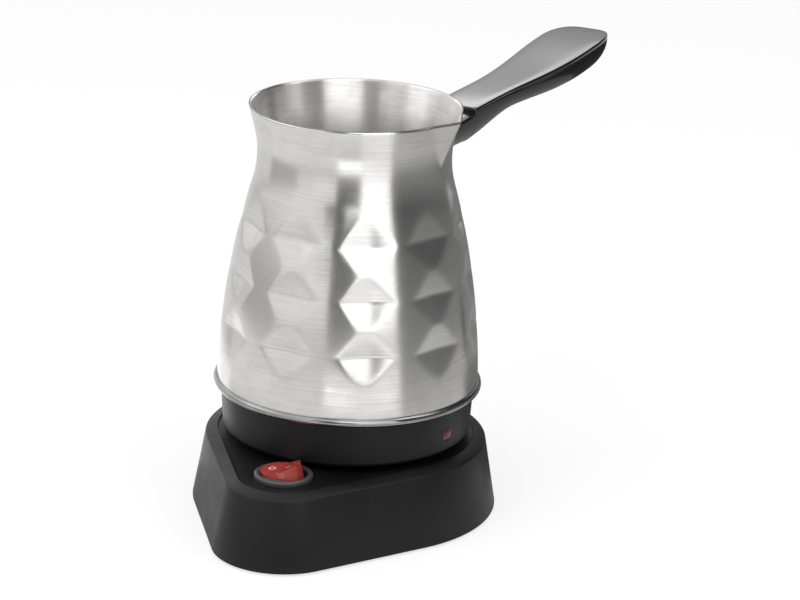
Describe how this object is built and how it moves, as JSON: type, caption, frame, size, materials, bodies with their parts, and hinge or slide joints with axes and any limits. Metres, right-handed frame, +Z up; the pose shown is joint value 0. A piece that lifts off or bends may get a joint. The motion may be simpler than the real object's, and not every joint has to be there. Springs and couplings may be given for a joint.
{
  "type": "electric turkish coffee maker",
  "caption": "Steel ibrik with pressed diamonds, spout, heated collar and long moulded handle, lifting off a teardrop cordless base with a round rocker switch in its tip.",
  "frame": {"origin": "on the pot's vertical axis, in the plane that the rubber feet stand on", "axes": "+Z up; -Y towards the base's tip and its switch; +X towards the spout, which the pot's stored turn puts 5 degrees to the front of +X; +Y towards the handle in the same way"},
  "size_m": [0.1236, 0.3122, 0.166],
  "materials": {
    "pot_steel": "brushed around, bright",
    "polished_steel": "polished",
    "plain_steel": "zinc plated",
    "aluminium": "plain",
    "element_sheath": "annealed",
    "brass": "plain",
    "satin_black": "satin",
    "base_black": "satin, fine grain",
    "gloss_black": "gloss",
    "grey_moulding": "matt",
    "brown_moulding": "satin",
    "switch_grey": "satin",
    "rocker_red": "translucent gloss",
    "lens_red": "translucent gloss",
    "neon": "clear",
    "white_lead": "matt",
    "foot_rubber": "matt"
  },
  "bodies": {
    "base": {"base_housing": "base_black", "bottom_cover": "satin_black", "rubber_feet": "foot_rubber", "cover_screws": "plain_steel", "hub_socket": "satin_black", "hub_screws": "plain_steel", "hub_contacts": "brass", "cord_bush": "foot_rubber", "switch_body": "switch_grey", "switch_terminals": "brass", "switch_lamp": "neon", "switch_lead": "brown_moulding"},
    "rocker": {"rocker": "rocker_red", "rocker_plunger": "white_lead", "plunger_spring": "plain_steel"},
    "blade": {"contact_blade": "brass"},
    "sleeve": {"centre_sleeve": "brass"},
    "pot": {"pot_shell": "pot_steel", "trim_ring": "polished_steel", "heater_plate": "aluminium", "heating_element": "element_sheath", "boil_dry_thermostat": "brown_moulding", "spacer_posts": "plain_steel", "collar": "satin_black", "collar_plate": "satin_black", "collar_screws": "plain_steel", "pot_connector": "grey_moulding", "connector_screws": "plain_steel", "centre_pin": "brass", "contact_rings": "brass", "pot_leads": "white_lead", "pilot_lens": "lens_red", "pilot_lamp": "neon", "handle_bracket": "plain_steel", "handle_ferrule": "gloss_black", "handle_grip": "gloss_black", "handle_screw": "plain_steel"}
  },
  "joints": [
    {"name": "rocker_tilt", "type": "hinge", "parent": "base", "child": "rocker", "pos_m": [0, -0.0595, 0.029], "axis": [0, 1, 0], "range_deg": [0, 32]},
    {"name": "blade_rock", "type": "hinge", "parent": "base", "child": "blade", "pos_m": [0, -0.0595, 0.0194], "axis": [0, 1, 0], "range_deg": [-9, 0]},
    {"name": "pot_turn", "type": "hinge", "parent": "base", "child": "sleeve", "pos_m": [0, 0, 0.03], "axis": [0, 0, 1], "continuous": true},
    {"name": "pot_lift", "type": "slide", "parent": "sleeve", "child": "pot", "axis": [0, 0, 1], "range_m": [0, 0.08]}
  ],
  "couplings": [
    {"joint": "blade_rock", "follows": "rocker_tilt", "ratio": -0.28125}
  ]
}
